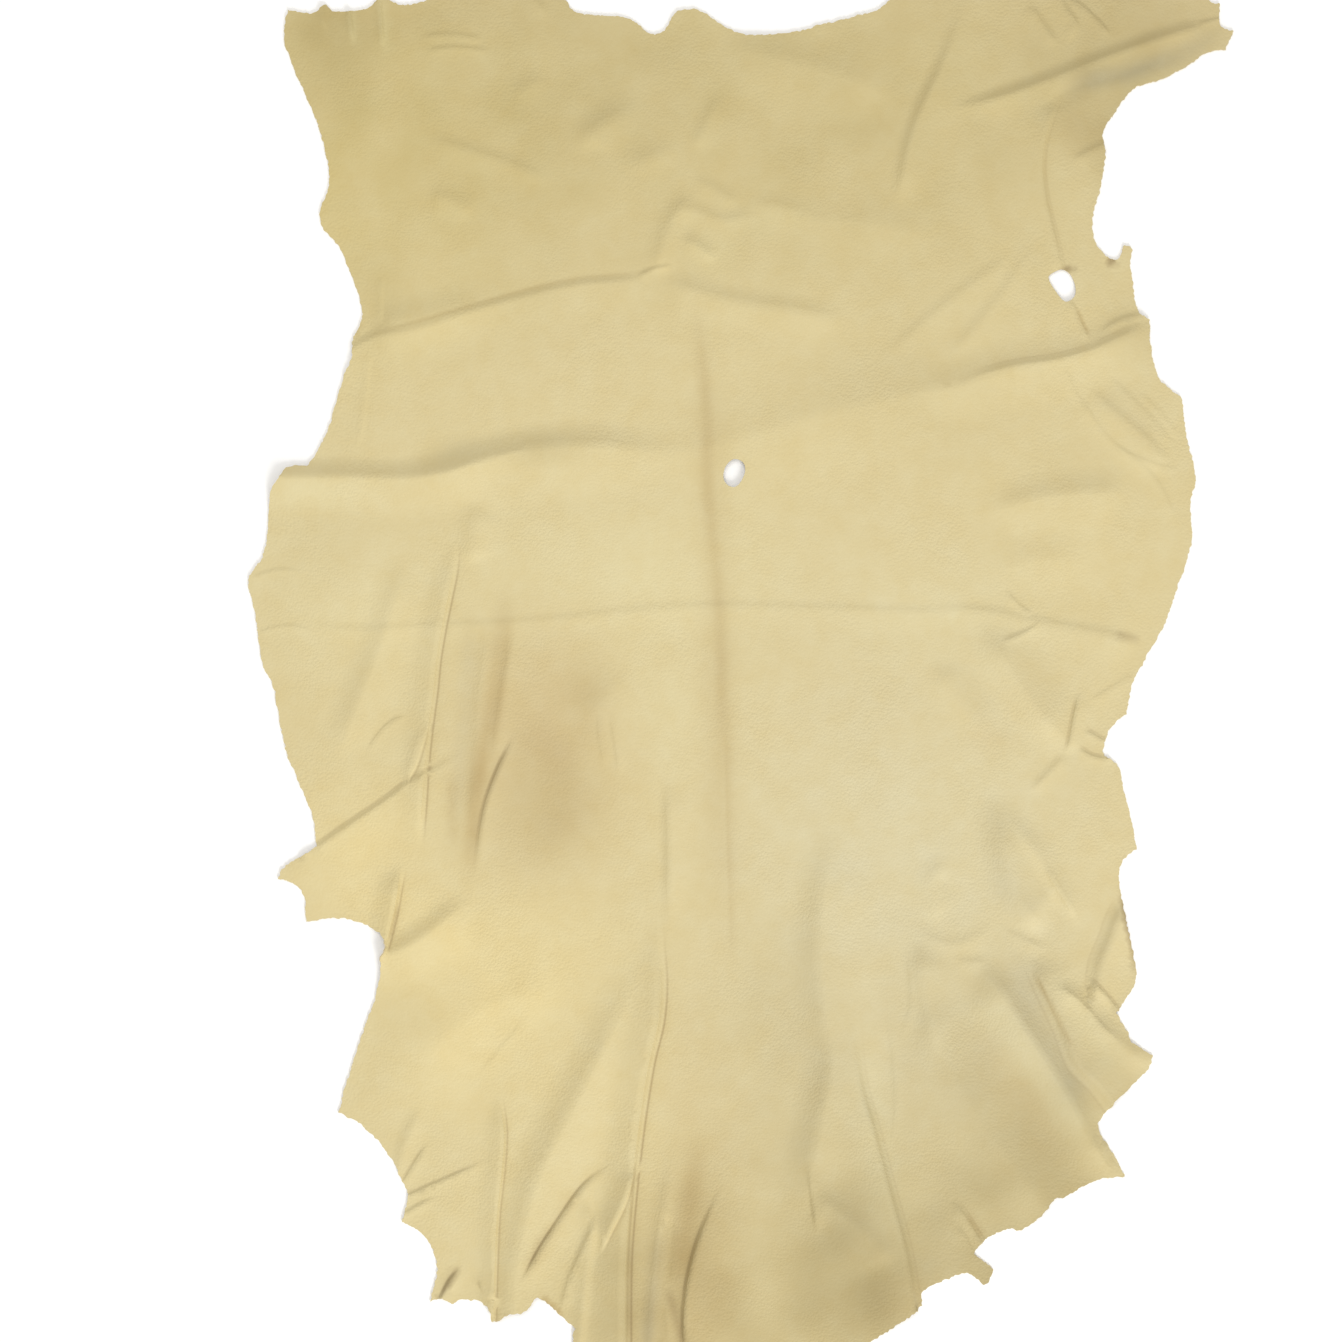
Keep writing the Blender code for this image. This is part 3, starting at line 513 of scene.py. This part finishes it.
# Streaks of tint: name, width, tint, strength and path. Some are the skin's own streaks;
# others paint shade into troughs and crevices, or highlights onto crests.
STREAKS = (
    ("backbone, line", 11, BROWN, 0.34,
     ((690, 262), (699, 330), (706, 400), (708, 494), (716, 566), (720, 630), (722, 680),
      (725, 800))),
    ("backbone", 30, BROWN, 0.24,
     ((700, 320), (708, 400), (712, 494), (716, 566), (717, 650), (719, 760), (722, 880),
      (724, 985))),
    ("backbone, second line", 5, BROWN, 0.3, ((728, 700), (729, 800), (731, 900), (732, 975))),
    # Painted highlights on the crests of the rump puckers
    ("pucker, left", 7, PAINTED_HIGHLIGHT, 0.9, ((351, 4), (354, 30), (355, 50))),
    ("pucker, right", 8, PAINTED_HIGHLIGHT, 0.9, ((382, -6), (385, 28), (387, 56))),
    # Painted shade along the foot of the upper crease
    ("upper crease, foot", 3.5, BROWN, 0.3,
     ((345, 346), (399, 328), (470, 307), (524, 291), (578, 279), (633, 274), (672, 267))),
    ("upper crease, corner", 6, BROWN, 0.35, ((354, 300), (356, 322), (357, 343))),
    ("side streak", 14, BROWN, 0.45,
     ((508, 570), (500, 640), (489, 710), (480, 770), (473, 830), (468, 900))),
    ("side streak, lower", 12, BROWN, 0.35, ((492, 700), (483, 750), (475, 810), (468, 880))),
    # Painted shade on the lower-left flank of the right shank ridge
    ("brisket band, brown", 40, BROWN, 0.22,
     ((972, 1010), (1010, 1078), (1044, 1130), (1080, 1176))),
    ("side streak, inner", 8, BROWN, 0.35, ((512, 600), (506, 660), (498, 720), (491, 780))),
    ("side streak, grey", 14, PAINTED_SHADE_GREY, 0.3, ((472, 600), (466, 700), (460, 780), (454, 870))),
    ("side streak, outer", 9, BROWN, 0.3, ((452, 770), (452, 810), (454, 850))),
    # Painted shade in the hind leg's valley
    ("hind leg, grey", 17, PAINTED_SHADE_GREY, 1.0,
     ((1052, 96), (1078, 84), (1100, 79), (1126, 74), (1150, 66), (1176, 56), (1204, 42),
      (1230, 28))),
    # Painted shade in the troughs of the belly, the shoulder and the shank
    ("belly trough, grey", 28, PAINTED_SHADE_GREY, 0.2, ((1096, 384), (1130, 414), (1160, 448))),
    ("shoulder trough, grey", 26, PAINTED_SHADE_GREY, 0.25, ((985, 800), (996, 850), (1008, 890), (1030, 930))),
    ("shank trough, grey", 32, PAINTED_SHADE_GREY, 0.65,
     ((1010, 936), (1021, 980), (1040, 1018), (1061, 1060), (1080, 1094), (1094, 1122))),
    # Painted highlights on the crests of the shank ridges
    ("shank ridge, pale", 28, PAINTED_HIGHLIGHT, 0.9,
     ((978, 984), (1004, 1024), (1034, 1060), (1066, 1104), (1094, 1146))),
    ("shank ridge, outer, pale", 20, PAINTED_HIGHLIGHT, 0.6,
     ((1048, 962), (1070, 1002), (1098, 1044), (1130, 1078))),
    ("ridge line", 4, BROWN, 0.6,
     ((1030, 965), (1040, 985), (1050, 1003), (1062, 1028), (1078, 1056))),
    # Painted highlight on the lit side of the right neck line
    ("neck line, pale", 34, PAINTED_HIGHLIGHT, 0.7,
     ((866, 1030), (872, 1090), (880, 1150), (888, 1200), (898, 1256))),
    # Painted shade in the left neck groove
    ("neck streak, grey", 12, PAINTED_SHADE_GREY, 0.7, ((662, 1216), (656, 1270), (650, 1320), (646, 1380))),
    ("neck streak, brown", 17, BROWN, 0.36, ((700, 1120), (692, 1180), (684, 1236), (676, 1300))),
    # Painted shade in the right neck groove
    ("neck streak, dark", 8, DARK, 0.5, ((666, 1284), (675, 1312), (684, 1350))),
    ("neck streak, left", 14, BROWN, 0.25, ((586, 1180), (562, 1216), (540, 1250), (524, 1284))),
    # Painted shade: dark lines in the crevices at the feet of pleats
    ("long pleat foot", 3, DARK, 0.4, ((636, 1140), (630, 1220), (628, 1290), (628, 1360))),
    ("short pleat foot", 4, DARK, 0.35, ((480, 830), (488, 794), (500, 764), (513, 738))),
    ("slant foot", 4, DARK, 0.35, ((528, 1268), (540, 1244), (556, 1222))),
    ("armpit foot", 5, DARK, 0.4, ((399, 900), (394, 924), (388, 944))),
    ("neck corner", 5, DARK, 0.55, ((460, 1264), (450, 1280), (441, 1299))),
    ("neck lobe", 5, BROWN, 0.8, ((538, 1297), (553, 1305), (566, 1320))),
    ("neck tab", 6, BROWN, 0.6, ((966, 1212), (975, 1226), (984, 1240))),
    ("flank notch", 7, DARK, 0.9, ((1107, 259), (1112, 262), (1116, 260))),
    ("flank arc tint", 4, BROWN, 0.5, ((1075, 306), (1082, 322), (1090, 338))),
    ("hind leg arc tint", 4, BROWN, 0.25,
     ((1052, 122), (1045, 150), (1046, 195), (1054, 232), (1060, 262))),
    ("belly end spot", 7, DARK, 0.35, ((1112, 633), (1127, 637), (1142, 640))),
    ("shoulder rim", 4, DARK, 0.7, ((1119, 880), (1126, 920), (1134, 960), (1134, 985))),
)


def smooth_line(points, step, closed=False):
    """Points about one step apart on a smooth curve through the given ones."""
    knots = [Vector(point) for point in points]
    if closed:
        knots = [knots[-1]] + knots + [knots[0], knots[1]]
    slopes = []
    for index in range(len(knots)):
        before = knots[max(index - 1, 0)]
        after = knots[min(index + 1, len(knots) - 1)]
        run = (knots[index] - before).length + (after - knots[index]).length
        slopes.append((after - before) / run)
    spans = range(1, len(knots) - 2) if closed else range(len(knots) - 1)
    line = [knots[spans[0]]]
    for index in spans:
        start, end = knots[index], knots[index + 1]
        reach = (end - start).length / 3
        count = max(1, round((end - start).length / step))
        handles = start + slopes[index] * reach, end - slopes[index + 1] * reach
        line.extend(interpolate_bezier(start, *handles, end, count + 1)[1:])
    return np.array([tuple(point) for point in line])


def wave(points, length, seed):
    """Smooth noise over the plan, from about -1 to 1, with waves of about this length."""
    return np.array([noise.noise(Vector((u / length, v / length, seed))) for u, v in points])


def right_of(line):
    """The unit direction to the right of a line, at each of its points."""
    heading = np.gradient(line, axis=0)
    heading /= np.hypot(*heading.T)[:, None]
    return np.stack((-heading[:, 1], heading[:, 0]), axis=1)


def nicked(loop):
    """A cut edge with its small nicks, which leave no point far from where it was."""
    offset = np.zeros(len(loop))
    for seed, (height, length) in enumerate(NICKS):
        offset += height * wave(loop, length, NICK_SEED + seed)
    return loop + right_of(loop) * offset[:, None]


def edge_line():
    """The whole edge: smooth between its corners, sharp at them."""
    line = []
    for index, (_name, points) in enumerate(EDGE):
        next_corner = EDGE[(index + 1) % len(EDGE)][1][0]
        line.append(smooth_line(points + (next_corner,), EDGE_STEP)[:-1])
    return np.concatenate(line)


def measure(points, line):
    """Nearest place on a line: distance, offset to its right, length run there, and heading."""
    starts, steps = line[:-1], np.diff(line, axis=0)
    lengths = np.hypot(*steps.T)
    offsets = points[:, None, :] - starts[None, :, :]
    along = np.clip((offsets * steps).sum(axis=2) / lengths**2, 0, 1)
    gaps = offsets - along[..., None] * steps
    distances = np.hypot(gaps[..., 0], gaps[..., 1])
    nearest = distances.argmin(axis=1)
    rows = np.arange(len(points))
    gap, step = gaps[rows, nearest], steps[nearest]
    side = np.sign(step[:, 0] * gap[:, 1] - step[:, 1] * gap[:, 0])
    before = np.concatenate(([0], np.cumsum(lengths)))[nearest]
    run = before + along[rows, nearest] * lengths[nearest]
    heading = step / lengths[nearest][:, None]
    return distances[rows, nearest], side * distances[rows, nearest], run, heading


def near(points, line, reach):
    """The indices of the points that may lie within reach of a line."""
    low, high = line.min(axis=0) - reach, line.max(axis=0) + reach
    return np.flatnonzero(((points > low) & (points < high)).all(axis=1))


def along_path(points, path, reach):
    """The points that may lie within reach of a path, its length, and how they lie to it."""
    line = smooth_line(path, FOLD_STEP)
    length = np.hypot(*np.diff(line, axis=0).T).sum()
    chosen = near(points, line, reach)
    return chosen, length, *measure(points[chosen], line)


def ease(value):
    """From 0 to 1 with a soft start and end."""
    value = np.clip(value, 0, 1)
    return value * value * (3 - 2 * value)


def fade(run, length, start, end):
    """How much of its height a fold has along its run, from 0 to 1."""
    rising = ease(run / start) if start else 1.0
    sinking = ease((length - run) / end) if end else 1.0
    return rising * sinking


def edge_distance(points, edge, reach):
    """How far plan points lie from the edge, at most reach."""
    distance = np.full(len(points), float(reach))
    closed_edge = np.vstack((edge, edge[:1]))
    for first in range(0, len(edge), STRETCH):
        stretch = closed_edge[first:first + STRETCH + 1]
        chosen = near(points, stretch, reach)
        distance[chosen] = np.minimum(distance[chosen], measure(points[chosen], stretch)[0])
    return distance


def shape(points, inset):
    """The underside's height above the surface, and its sideways shift, at plan points."""
    height = np.zeros(len(points))
    shift = np.zeros((len(points), 2))
    for _name, peak, steep, soft, lean, start, end, path in FOLDS + WRINKLES:
        chosen, length, _distance, offset, run, heading = along_path(points, path, steep + soft)
        full = fade(run, length, start, end)
        climbed = np.clip(offset / steep + 0.5, 0, 1)
        rise = (ease(climbed) + 3 * climbed**2) / 4
        width = soft * (NARROWEST_SLOPE + (1 - NARROWEST_SLOPE) * full)
        left = 1 - np.clip((offset - steep / 2) / width, 0, 1)
        fall = (ease(left) + left**2) / 2
        height[chosen] += peak * full * rise * fall
        crest = 1 - ease((offset - steep / 2) / (2 * steep))
        out = np.stack((heading[:, 1], -heading[:, 0]), axis=1)
        shift[chosen] += out * (lean * full * rise * crest)[:, None]
    for _name, mid_u, mid_v, half_u, half_v, peak in SWELLS:
        away = np.hypot((points[:, 0] - mid_u) / half_u, (points[:, 1] - mid_v) / half_v)
        height += peak * (1 - ease(away))
    spread = ease(inset / LIFT_INSET)
    height += spread * (LIFT + WAVE_HEIGHT * wave(points, WAVE_LENGTH, WAVE_SEED))
    height += spread * RIPPLE_HEIGHT * wave(points, RIPPLE_LENGTH, RIPPLE_SEED)
    curl = np.clip(wave(points, CURL_LENGTH, CURL_SEED), 0, 1)
    height += CURL_HEIGHT * curl * np.exp(-inset / CURL_INSET)
    low = height < LOWEST
    height[low] = LOWEST * np.exp(height[low] / LOWEST - 1)
    return height, shift


class Spread:
    """Plan points that keep a distance from each other, found again by the cell they lie in."""

    cell = 4.0

    def __init__(self):
        self.points = []
        self.cells = {}

    def is_free(self, point, gap):
        reach = math.ceil(gap / self.cell)
        column, row = int(point[0] // self.cell), int(point[1] // self.cell)
        for i in range(column - reach, column + reach + 1):
            for j in range(row - reach, row + reach + 1):
                for u, v in self.cells.get((i, j), ()):
                    if math.hypot(u - point[0], v - point[1]) < gap:
                        return False
        return True

    def add(self, point):
        place = (int(point[0] // self.cell), int(point[1] // self.cell))
        self.cells.setdefault(place, []).append((point[0], point[1]))
        self.points.append(point)
        return len(self.points) - 1

    def add_row(self, row, gap):
        """Add those points of a row that lie free."""
        for point in row:
            if self.is_free(point, gap):
                self.add(point)

    def add_grid(self, rows, gap, edges):
        """Add the points of side by side rows that lie free, and link neighbours in a row."""
        free = [[self.is_free(point, gap) for point in row] for row in rows]
        for row, row_free in zip(rows, free):
            last = None
            for point, is_free in zip(row, row_free):
                index = self.add(point) if is_free else None
                if last is not None and index is not None:
                    edges.append((last, index))
                last = index


def field_points(edge):
    """An even grid of plan points, every other row set off by half a step."""
    first_u, first_v = edge.min(axis=0)
    width, length = np.ptp(edge, axis=0)
    row_gap = FIELD_STEP * math.sqrt(0.75)
    points = []
    for row in range(math.ceil(length / row_gap)):
        for column in range(math.ceil(width / FIELD_STEP)):
            points.append((first_u + (column + row % 2 / 2) * FIELD_STEP, first_v + row * row_gap))
    return points


def plan_mesh(loops):
    """Upward triangles over the plan: the edge, the holes, rows along the folds and a field."""
    spread = Spread()
    edges = []
    outlines = []
    for loop in loops:
        outlines.append([spread.add(point) for point in loop])
    folds = []
    for _name, _peak, steep, soft, _lean, _start, _end, path in FOLDS + WRINKLES:
        line = smooth_line(path, FOLD_STEP)
        folds.append((steep, soft, line, right_of(line)))
    folds.sort(key=lambda fold: fold[0])
    for steep, _soft, line, right in folds:
        rows = [line + right * (steep * share) for share in FACE_ROWS]
        rows.append(line - right * (steep / 2 + FOOT_ROW))
        spread.add_grid(rows, FACE_CLEARANCE, edges)
    for steep, soft, line, right in folds:
        for share in SLOPE_ROWS:
            spread.add_row(line + right * (steep / 2 + soft * share), SLOPE_CLEARANCE)
    spine = smooth_line(SPINE, SPINE_STEP)
    for offset in (-2, -1, 0, 1, 2):
        spread.add_row(spine + right_of(spine) * offset * SPINE_STEP, SLOPE_CLEARANCE)
    for point in field_points(loops[0]):
        if spread.is_free(point, FIELD_CLEARANCE):
            spread.add(point)
    triangles_in_faces = 1
    points, _edges, faces, _from_points, _from_edges, from_faces = delaunay_2d_cdt(
        [Vector(point) for point in spread.points], edges, outlines, triangles_in_faces,
        MERGE_DISTANCE, True)
    points = np.array([tuple(point) for point in points])
    on_skin = [face for face, origins in zip(faces, from_faces) if list(origins) == [0]]
    used, renumbered = np.unique(np.array(on_skin), return_inverse=True)
    return points[used], renumbered.reshape(-1, 3)[:, ::-1]


def tinted(tint, share):
    """What the colour is multiplied by where each point has this share of a tint."""
    return 1 + share[:, None] * (np.array(tint) - 1)


def tints(points, inset):
    """The grain side's colour at plan points, with painted shade and highlights laid into it."""
    colour = np.ones((len(points), 3))
    broken = TINT_SHARE + TINT_VARIATION * wave(points, TINT_LENGTH, TINT_SEED)
    for _name, mid_u, mid_v, half_u, half_v, tint, strength in PATCHES:
        away = np.hypot((points[:, 0] - mid_u) / half_u, (points[:, 1] - mid_v) / half_v)
        colour *= tinted(tint, strength * broken * (1 - ease(away)))
    for _name, width, tint, strength, path in STREAKS:
        chosen, length, distance, _offset, run, _heading = along_path(points, path, width)
        ends = fade(run, length, length / 4, length / 4)
        share = strength * broken[chosen] * ends * (1 - ease(distance / width))
        colour[chosen] *= tinted(tint, share)
    # Painted shade: a dark line in the crevice at the foot of each fold that leans
    for _name, _peak, steep, _soft, lean, start, end, path in FOLDS + WRINKLES:
        if not lean:
            continue
        chosen, length, _distance, offset, run, _heading = along_path(points, path, steep)
        beside = np.exp(-((offset + steep / 2) / PAINTED_CREVICE_SHADE_WIDTH)**2)
        share = PAINTED_CREVICE_SHADE * lean * beside * fade(run, length, start, end)
        colour[chosen] *= tinted(DARK, share)
    colour *= tinted(BROWN, EDGE_DARKENING * np.exp(-inset / EDGE_INSET))
    return colour * GRAIN


def sheet_mesh(plan, faces, height, shift):
    """A closed sheet of even thickness on the plan's triangles, with a sharp cut edge."""
    top = np.stack(((plan[:, 0] + shift[:, 0] - MID_U) * MM,
                    (MID_V - plan[:, 1] - shift[:, 1]) * MM, (height + THICKNESS) * MM), axis=1)
    corners = top[faces]
    across = np.cross(corners[:, 1] - corners[:, 0], corners[:, 2] - corners[:, 0])
    normals = np.zeros_like(top)
    for corner in range(3):
        np.add.at(normals, faces[:, corner], across)
    normals /= np.linalg.norm(normals, axis=1)[:, None]
    under = top - normals * (THICKNESS * MM)
    count = len(top)
    sides = np.concatenate((faces[:, (0, 1)], faces[:, (1, 2)], faces[:, (2, 0)]))
    keys = sides[:, 0] * count + sides[:, 1]
    backward = sides[:, 1] * count + sides[:, 0]
    border = sides[~np.isin(keys, backward)]
    start, end = border.T
    rim = np.stack((end, start, start + count, end + count), axis=1)
    mesh = bpy.data.meshes.new("hide")
    all_faces = (faces + count).tolist() + faces[:, ::-1].tolist() + rim.tolist()
    mesh.from_pydata(np.concatenate((under, top)).tolist(), [], all_faces)
    kinds = [0] * len(faces) + [1] * len(faces) + [2] * len(rim)
    mesh.polygons.foreach_set("material_index", kinds)
    mesh.polygons.foreach_set("use_smooth", [kind < 2 for kind in kinds])
    mesh.update(calc_edges=True)
    ends = np.empty(2 * len(mesh.edges), dtype=np.int64)
    mesh.edges.foreach_get("vertices", ends)
    ends = np.sort(ends.reshape(-1, 2), axis=1)
    cut = np.sort(np.concatenate((border, border + count)), axis=1)
    sharp = np.isin(ends[:, 0] * 2 * count + ends[:, 1], cut[:, 0] * 2 * count + cut[:, 1])
    mesh.edges.foreach_set("use_edge_sharp", sharp)
    return mesh


def new_material(name):
    """A material with its default node tree, which holds just the shader and the output."""
    material = bpy.data.materials.new(name)
    material.use_nodes = True
    return material, material.node_tree.nodes, material.node_tree.links


def add_texture(nodes, links, kind, vector, **settings):
    """A texture node on these coordinates."""
    texture = nodes.new("ShaderNodeTex" + kind)
    for name, value in settings.items():
        texture.inputs[name].default_value = value
    links.new(vector, texture.inputs["Vector"])
    return texture


def leather_grain():
    """Soft pebbled leather, tinted by the mesh's colour, which carries painted shade and
    highlights too.
    """
    material, nodes, links = new_material("leather")
    shader = nodes["Principled BSDF"]
    shader.inputs["Roughness"].default_value = 0.62
    shader.inputs["Specular IOR Level"].default_value = 0.22
    shader.inputs["Sheen Weight"].default_value = 0.05
    place = nodes.new("ShaderNodeTexCoord").outputs["Object"]
    tint = nodes.new("ShaderNodeVertexColor")
    tint.layer_name = "tint"
    bend = add_texture(nodes, links, "Noise", place, Scale=BEND_SCALE)
    bent = nodes.new("ShaderNodeVectorMath")
    bent.operation = "MULTIPLY_ADD"
    bent.inputs[1].default_value = [PEBBLE_BEND * MM] * 3
    links.new(bend.outputs["Color"], bent.inputs[0])
    links.new(place, bent.inputs[2])
    pebbles = add_texture(nodes, links, "Voronoi", bent.outputs[0], Scale=1 / (PEBBLE * MM))
    pores = add_texture(nodes, links, "Noise", place, Scale=1 / (PORE * MM), Detail=3)
    worn = add_texture(nodes, links, "Noise", place, Scale=WORN_SCALE, Detail=2)
    strength = nodes.new("ShaderNodeMapRange")
    strength.inputs["From Min"].default_value = 0.35
    strength.inputs["From Max"].default_value = 0.65
    strength.inputs["To Min"].default_value = 0.2
    strength.inputs["To Max"].default_value = 0.6
    links.new(worn.outputs["Fac"], strength.inputs["Value"])
    domes = nodes.new("ShaderNodeBump")
    domes.invert = True
    domes.inputs["Distance"].default_value = PEBBLE_DEPTH * MM
    links.new(strength.outputs["Result"], domes.inputs["Strength"])
    links.new(pebbles.outputs["Distance"], domes.inputs["Height"])
    fine = nodes.new("ShaderNodeBump")
    fine.inputs["Strength"].default_value = 0.25
    fine.inputs["Distance"].default_value = PORE_DEPTH * MM
    links.new(pores.outputs["Fac"], fine.inputs["Height"])
    links.new(domes.outputs["Normal"], fine.inputs["Normal"])
    links.new(fine.outputs["Normal"], shader.inputs["Normal"])
    mottle = add_texture(nodes, links, "Noise", place, Scale=MOTTLE_SCALE, Detail=8,
                         Roughness=0.68)
    tone = nodes.new("ShaderNodeValToRGB")
    tone.color_ramp.elements[0].position = 0.3
    tone.color_ramp.elements[0].color = (*MOTTLE_BROWN, 1)
    tone.color_ramp.elements[1].position = 0.7
    tone.color_ramp.elements[1].color = (*MOTTLE_PALE, 1)
    links.new(mottle.outputs["Fac"], tone.inputs["Fac"])
    toned = nodes.new("ShaderNodeVectorMath")
    toned.operation = "MULTIPLY"
    links.new(tint.outputs["Color"], toned.inputs[0])
    links.new(tone.outputs["Color"], toned.inputs[1])
    links.new(toned.outputs[0], shader.inputs["Base Color"])
    return material


def napped(name, colour, scale, depth):
    """The rough, fibrous leather of the flesh side or of the raw edge."""
    material, nodes, links = new_material(name)
    shader = nodes["Principled BSDF"]
    shader.inputs["Roughness"].default_value = 0.95
    shader.inputs["Specular IOR Level"].default_value = 0.1
    shader.inputs["Sheen Weight"].default_value = 0.2
    place = nodes.new("ShaderNodeTexCoord").outputs["Object"]
    fibres = add_texture(nodes, links, "Noise", place, Scale=scale, Detail=5)
    tone = nodes.new("ShaderNodeMapRange")
    tone.inputs["To Min"].default_value = 0.86
    tone.inputs["To Max"].default_value = 1.12
    links.new(fibres.outputs["Fac"], tone.inputs["Value"])
    toned = nodes.new("ShaderNodeVectorMath")
    toned.operation = "SCALE"
    toned.inputs[0].default_value = colour
    links.new(tone.outputs["Result"], toned.inputs["Scale"])
    links.new(toned.outputs[0], shader.inputs["Base Color"])
    bump = nodes.new("ShaderNodeBump")
    bump.inputs["Strength"].default_value = 0.5
    bump.inputs["Distance"].default_value = depth * MM
    links.new(fibres.outputs["Fac"], bump.inputs["Height"])
    links.new(bump.outputs["Normal"], shader.inputs["Normal"])
    return material


def build_hide():
    """The whole skin, coloured and declared."""
    loops = [nicked(edge_line())]
    loops.extend(smooth_line(points, HOLE_STEP, closed=True)[:-1] for _name, points in HOLES)
    plan, faces = plan_mesh(loops)
    inset = edge_distance(plan, loops[0], LIFT_INSET)
    height, shift = shape(plan, inset)
    mesh = sheet_mesh(plan, faces, height, shift)
    colour = np.ones((len(plan), 4))
    colour[:, :3] = tints(plan, inset)
    attribute = mesh.color_attributes.new("tint", "FLOAT_COLOR", "POINT")
    attribute.data.foreach_set("color", np.concatenate((colour, colour)).ravel())
    mesh.materials.append(leather_grain())
    mesh.materials.append(napped("leather flesh side", FLESH, 420, 0.4))
    mesh.materials.append(napped("leather raw edge", RAW_EDGE, 900, 0.2))
    hide = bpy.data.objects.new("hide_sheet", mesh)
    bpy.context.collection.objects.link(hide)
    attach(hide, "root")
    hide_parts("hide")
    return hide


def build_floor():
    """A plain pale floor, just under the skin."""
    mesh = bpy.data.meshes.new("floor")
    corners = [(-6, -6, FLOOR), (6, -6, FLOOR), (6, 6, FLOOR), (-6, 6, FLOOR)]
    mesh.from_pydata(corners, [], [(0, 1, 2, 3)])
    material, nodes, _links = new_material("floor")
    shader = nodes["Principled BSDF"]
    shader.inputs["Base Color"].default_value = (0.93, 0.93, 0.93, 1)
    shader.inputs["Roughness"].default_value = 0.9
    shader.inputs["Specular IOR Level"].default_value = 0.1
    mesh.materials.append(material)
    floor = bpy.data.objects.new("floor", mesh)
    bpy.context.collection.objects.link(floor)
    return floor


def add_light(name, place, target, size, power):
    """A soft square light at one place, turned to another."""
    data = bpy.data.lights.new(name, "AREA")
    data.size = size
    data.energy = power
    light = bpy.data.objects.new(name, data)
    light.location = place
    light.rotation_mode = "QUATERNION"
    light.rotation_quaternion = (Vector(target) - Vector(place)).to_track_quat("-Z", "Y")
    bpy.context.collection.objects.link(light)


def add_camera():
    """Straight above the skin, framed as the photograph is."""
    data = bpy.data.cameras.new("camera")
    data.sensor_width = 36
    data.lens = 36 * CAMERA_HEIGHT / FRAME_WIDTH
    camera = bpy.data.objects.new("camera", data)
    camera.location = ((FRAME_MID[0] - MID_U) * MM, (MID_V - FRAME_MID[1]) * MM, CAMERA_HEIGHT)
    bpy.context.collection.objects.link(camera)
    bpy.context.scene.camera = camera


hide = build_hide()
floor = build_floor()

add_light("window", (1.75, -4.6, 2.6), (0, 0, 0), 2.0, 205)
add_light("overhead", (-0.6, 1.2, 3.6), (0, 0.2, 0), 2.8, 52)
world = bpy.data.worlds.new("world")
world.use_nodes = True
world.node_tree.nodes["Background"].inputs["Color"].default_value = (1, 0.975, 0.93, 1)
world.node_tree.nodes["Background"].inputs["Strength"].default_value = 0.62
bpy.context.scene.world = world
bpy.context.scene.view_settings.view_transform = "Standard"
add_camera()
